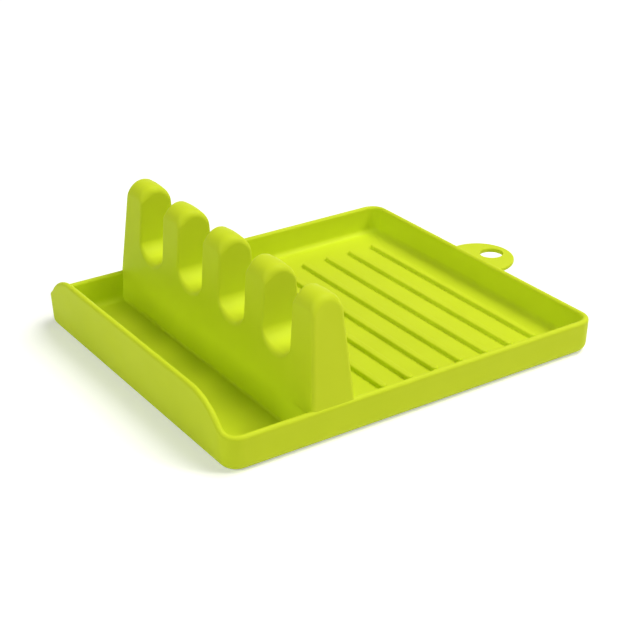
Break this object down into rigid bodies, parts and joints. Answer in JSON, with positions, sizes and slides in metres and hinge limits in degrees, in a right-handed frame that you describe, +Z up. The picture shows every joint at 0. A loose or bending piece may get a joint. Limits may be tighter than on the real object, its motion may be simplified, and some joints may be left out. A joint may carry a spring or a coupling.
{
  "type": "spoon rest",
  "caption": "Shallow drip tray with a raised front lip, a notched comb that holds utensil handles, low drip ribs under the spoon heads and a tab with a hole for hanging.",
  "frame": {"origin": "centre of the tray's underside, on the table", "axes": "+X from the front lip to the hanging tab, +Y along the comb, +Z up"},
  "size_m": [0.1869, 0.1504, 0.0562],
  "materials": {
    "silicone": "satin lime-green moulded silicone rubber"
  },
  "bodies": {
    "root": {"drip_tray": "silicone", "front_lip": "silicone", "utensil_comb": "silicone", "hang_tab": "silicone", "drip_rib_1": "silicone", "drip_rib_2": "silicone", "drip_rib_3": "silicone", "drip_rib_4": "silicone", "drip_rib_5": "silicone", "drip_rib_6": "silicone", "drip_rib_7": "silicone"}
  },
  "joints": []
}
